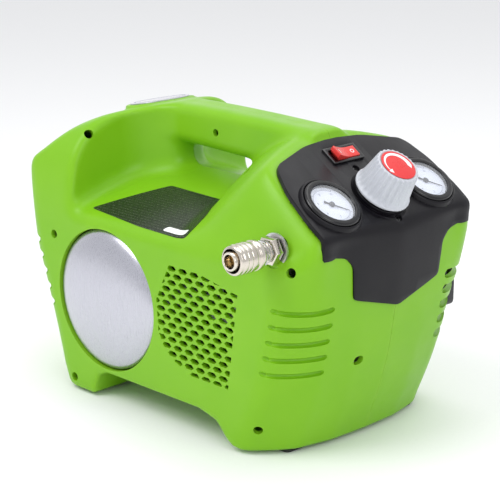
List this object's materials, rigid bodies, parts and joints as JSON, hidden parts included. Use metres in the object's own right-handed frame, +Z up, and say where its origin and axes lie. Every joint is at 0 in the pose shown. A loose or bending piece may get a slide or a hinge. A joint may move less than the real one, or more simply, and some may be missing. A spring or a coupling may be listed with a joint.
{
  "type": "cordless air compressor",
  "caption": "Portable air compressor in a moulded clamshell with a carrying handle, a cross-mounted tank, a sloped regulator panel, a side outlet coupler and a slide-in battery.",
  "frame": {"origin": "centre of the bounding box, on the plane the feet stand on", "axes": "+X towards the control panel along the length, +Z up, -Y towards the outlet coupler"},
  "size_m": [0.3772, 0.275, 0.2585],
  "materials": {
    "green_plastic": "semi-gloss moulded",
    "black_plastic": "satin moulded",
    "grey_plastic": "satin moulded",
    "red_plastic": "gloss",
    "black_rubber": "matt",
    "steel": "plain",
    "silver_paint": "brushed",
    "nickel_plate": "bright plated",
    "brass": "machined",
    "cast_alloy": "as cast",
    "white_print": "printed",
    "clear_lens": "clear",
    "copper": "drawn"
  },
  "bodies": {
    "base": {"air_tank": "silver_paint", "badge_plate": "silver_paint", "battery_dock": "black_plastic", "check_valve": "brass", "control_panel": "black_plastic", "coupler_body": "nickel_plate", "coupler_sleeve_spring": "steel", "coupler_valve_spring": "steel", "crank_axle": "steel", "cylinder": "cast_alloy", "cylinder_head": "cast_alloy", "delivery_tube": "copper", "drain_valve_body": "brass", "foot_front_far": "black_rubber", "foot_front_near": "black_rubber", "foot_rear_far": "black_rubber", "foot_rear_near": "black_rubber", "housing_far_half": "green_plastic", "housing_near_half": "green_plastic", "motor_can": "steel", "outlet_gauge_case": "black_plastic", "outlet_gauge_dial": "white_print", "outlet_gauge_lens": "clear_lens", "outlet_tube": "copper", "panel_screw_front": "steel", "panel_screw_rear": "steel", "power_lead": "black_plastic", "pressure_switch": "black_plastic", "pump_bracket": "cast_alloy", "rating_label": "black_plastic", "regulator_bonnet": "black_plastic", "regulator_diaphragm": "black_rubber", "regulator_manifold": "cast_alloy", "regulator_spring": "steel", "safety_valve_body": "brass", "switch_frame": "black_plastic", "tank_gauge_case": "black_plastic", "tank_gauge_dial": "white_print", "tank_gauge_lens": "clear_lens", "tank_saddle": "green_plastic"},
    "tank_needle": {"tank_gauge_needle": "black_plastic"},
    "outlet_needle": {"outlet_gauge_needle": "black_plastic"},
    "adjusting_screw": {"regulator_screw": "steel"},
    "knob": {"regulator_knob": "grey_plastic", "knob_label": "red_plastic"},
    "rocker": {"rocker_switch": "red_plastic"},
    "sleeve": {"coupler_sleeve": "nickel_plate"},
    "plug_valve": {"coupler_valve": "brass"},
    "battery": {"battery_pack": "black_plastic"},
    "latch": {"battery_latch": "red_plastic"},
    "petcock": {"drain_petcock": "brass"},
    "relief_pin": {"safety_valve_pull": "steel"},
    "crank": {"crank_gear": "steel"},
    "armature": {"motor_shaft": "steel", "motor_armature": "copper", "motor_pinion": "steel", "cooling_fan": "black_plastic"},
    "piston": {"piston": "cast_alloy", "wrist_pin": "steel", "connecting_rod": "cast_alloy"}
  },
  "joints": [
    {"name": "tank_needle_swing", "type": "hinge", "parent": "base", "child": "tank_needle", "pos_m": [0.1534, -0.0402, 0.2091], "axis": [0.575, 0, 0.8181], "range_deg": [-270, 0], "stiffness_Nm_per_rad": 0.0005},
    {"name": "outlet_needle_swing", "type": "hinge", "parent": "base", "child": "outlet_needle", "pos_m": [0.1534, 0.0752, 0.2091], "axis": [0.575, 0, 0.8181], "range_deg": [-270, 0], "stiffness_Nm_per_rad": 0.0005},
    {"name": "pressure_adjust", "type": "hinge", "parent": "base", "child": "adjusting_screw", "pos_m": [0.15381, 0.0175, 0.20881], "axis": [0.575, 0, 0.8181], "range_deg": [-1080, 0]},
    {"name": "knob_lift", "type": "slide", "parent": "adjusting_screw", "child": "knob", "axis": [0.575, 0, 0.8181], "range_m": [0, 0.004]},
    {"name": "power_rocker", "type": "hinge", "parent": "base", "child": "rocker", "pos_m": [0.11523, 0.0165, 0.23653], "axis": [0.8181, 0, -0.575], "range_deg": [0, 22]},
    {"name": "sleeve_slide", "type": "slide", "parent": "base", "child": "sleeve", "axis": [0, 1, 0], "range_m": [0, 0.005], "stiffness_N_per_m": 800, "springref_m": -0.006, "deforming": ["coupler_sleeve_spring"]},
    {"name": "plug_valve_slide", "type": "slide", "parent": "base", "child": "plug_valve", "axis": [0, 1, 0], "range_m": [0, 0.004], "stiffness_N_per_m": 400, "springref_m": -0.006, "deforming": ["coupler_valve_spring"]},
    {"name": "battery_slide", "type": "slide", "parent": "base", "child": "battery", "axis": [0, 1, 0], "range_m": [0, 0.08]},
    {"name": "latch_press", "type": "slide", "parent": "battery", "child": "latch", "axis": [0, 0, -1], "range_m": [0, 0.0025], "stiffness_N_per_m": 500, "springref_m": -0.003},
    {"name": "drain_turn", "type": "hinge", "parent": "base", "child": "petcock", "pos_m": [-0.0622, 0.0175, 0.012], "axis": [0, 0, -1], "range_deg": [0, 270]},
    {"name": "relief_pull", "type": "slide", "parent": "base", "child": "relief_pin", "axis": [-0.8181, 0, 0.575], "range_m": [0, 0.004], "stiffness_N_per_m": 1000, "springref_m": -0.003},
    {"name": "crank_spin", "type": "hinge", "parent": "base", "child": "crank", "pos_m": [0.07925, -0.0325, 0.06066], "axis": [0, -1, 0], "continuous": true},
    {"name": "armature_spin", "type": "hinge", "parent": "base", "child": "armature", "pos_m": [0.1134, 0.0175, 0.044], "axis": [0, -1, 0], "continuous": true},
    {"name": "piston_stroke", "type": "slide", "parent": "base", "child": "piston", "axis": [0, 0, 1], "range_m": [0, 0.02]}
  ],
  "couplings": [
    {"joint": "armature_spin", "follows": "crank_spin", "ratio": -3.75}
  ]
}
